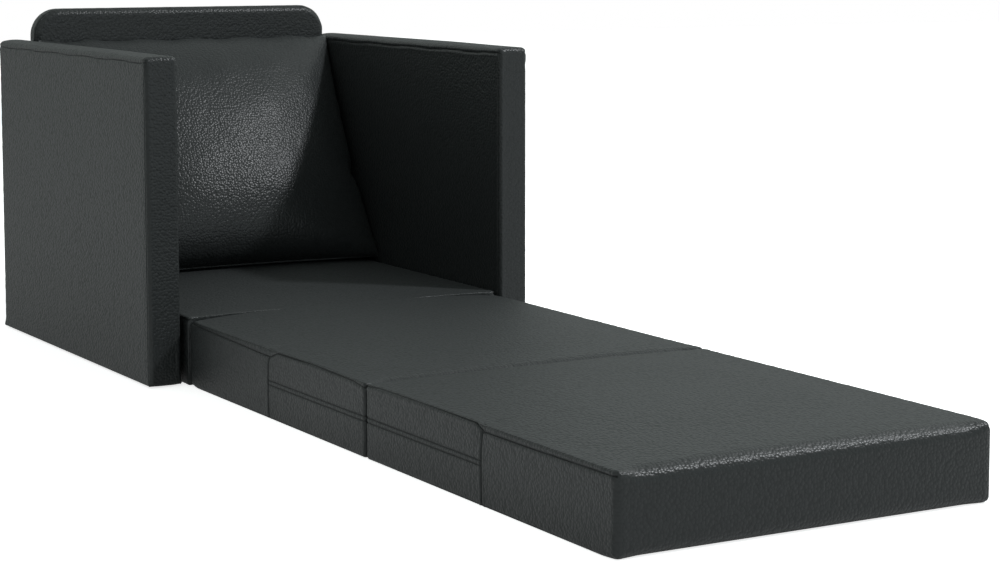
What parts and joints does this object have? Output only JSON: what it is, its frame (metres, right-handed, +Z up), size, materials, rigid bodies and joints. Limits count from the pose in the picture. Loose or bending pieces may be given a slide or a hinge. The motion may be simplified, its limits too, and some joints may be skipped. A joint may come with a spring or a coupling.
{
  "type": "sofa bed",
  "caption": "Single fold-out sofa bed shown opened: flat padded arms and backrest, a three-part folding mattress on the floor and a loose back pillow.",
  "frame": {"origin": "on the floor, below the middle of the whole object's bounding box", "axes": "+X to the right as seen from the foot of the bed, +Y from the foot to the backrest, +Z up"},
  "size_m": [0.74, 2.092, 0.621],
  "materials": {
    "black_leather": "satin",
    "foam": "matte",
    "plywood": "matte",
    "pine": "matte",
    "black_lining": "matte",
    "black_plastic": "matte",
    "zinc_steel": "satin",
    "zip_tape": "matte",
    "pillow_filling": "matte"
  },
  "bodies": {
    "frame": {"backrest_board": "plywood", "backrest_cover": "black_leather", "backrest_foam": "foam", "backrest_liner": "black_lining", "rear_section_base_board": "plywood", "rear_section_cover": "black_leather", "rear_section_foam": "foam", "rear_section_liner": "black_lining", "left_arm_bottom_rail": "pine", "left_arm_cover": "black_leather", "left_arm_foam": "foam", "left_arm_front_glide": "black_plastic", "left_arm_front_post": "pine", "left_arm_inner_panel": "plywood", "left_arm_liner": "black_lining", "left_arm_outer_panel": "plywood", "left_arm_rear_glide": "black_plastic", "left_arm_rear_post": "pine", "left_arm_top_rail": "pine", "right_arm_bottom_rail": "pine", "right_arm_cover": "black_leather", "right_arm_foam": "foam", "right_arm_front_glide": "black_plastic", "right_arm_front_post": "pine", "right_arm_inner_panel": "plywood", "right_arm_liner": "black_lining", "right_arm_outer_panel": "plywood", "right_arm_rear_glide": "black_plastic", "right_arm_rear_post": "pine", "right_arm_top_rail": "pine", "left_front_seat_bolt": "zinc_steel", "left_front_seat_spacer": "black_plastic", "left_lower_back_bolt": "zinc_steel", "left_rear_seat_bolt": "zinc_steel", "left_rear_seat_spacer": "black_plastic", "left_upper_back_bolt": "zinc_steel", "right_front_seat_bolt": "zinc_steel", "right_front_seat_spacer": "black_plastic", "right_lower_back_bolt": "zinc_steel", "right_rear_seat_bolt": "zinc_steel", "right_rear_seat_spacer": "black_plastic", "right_upper_back_bolt": "zinc_steel"},
    "middle_section": {"middle_section_cover": "black_leather", "middle_section_foam": "foam", "middle_section_zip": "zip_tape", "rear_hinge_tape": "black_leather"},
    "middle_zip": {"middle_zip_slider": "zinc_steel"},
    "front_section": {"front_section_cover": "black_leather", "front_section_foam": "foam", "front_section_zip": "zip_tape", "front_hinge_tape": "black_leather"},
    "front_zip": {"front_zip_slider": "zinc_steel"},
    "pillow": {"pillow_cover": "black_leather", "pillow_filling": "pillow_filling", "pillow_zip": "zip_tape"}
  },
  "joints": [
    {"name": "middle_fold", "type": "hinge", "parent": "frame", "child": "middle_section", "pos_m": [0, 0.281, 0.1263], "axis": [-1, 0, 0], "range_deg": [0, 180]},
    {"name": "front_fold", "type": "hinge", "parent": "middle_section", "child": "front_section", "pos_m": [0, -0.378, -0.0003], "axis": [1, 0, 0], "range_deg": [0, 180]},
    {"name": "pillow_lift", "type": "slide", "parent": "front_section", "child": "pillow", "axis": [0, -1, 0], "range_m": [0, 1.3181]},
    {"name": "middle_zip_slide", "type": "slide", "parent": "middle_section", "child": "middle_zip", "axis": [0, 1, 0], "range_m": [0, 0.285]},
    {"name": "front_zip_slide", "type": "slide", "parent": "front_section", "child": "front_zip", "axis": [0, -1, 0], "range_m": [0, 0.285]}
  ],
  "couplings": [
    {"joint": "front_fold", "follows": "middle_fold", "ratio": 1},
    {"joint": "pillow_lift", "follows": "middle_fold", "m_per_rad": 0.41953}
  ]
}
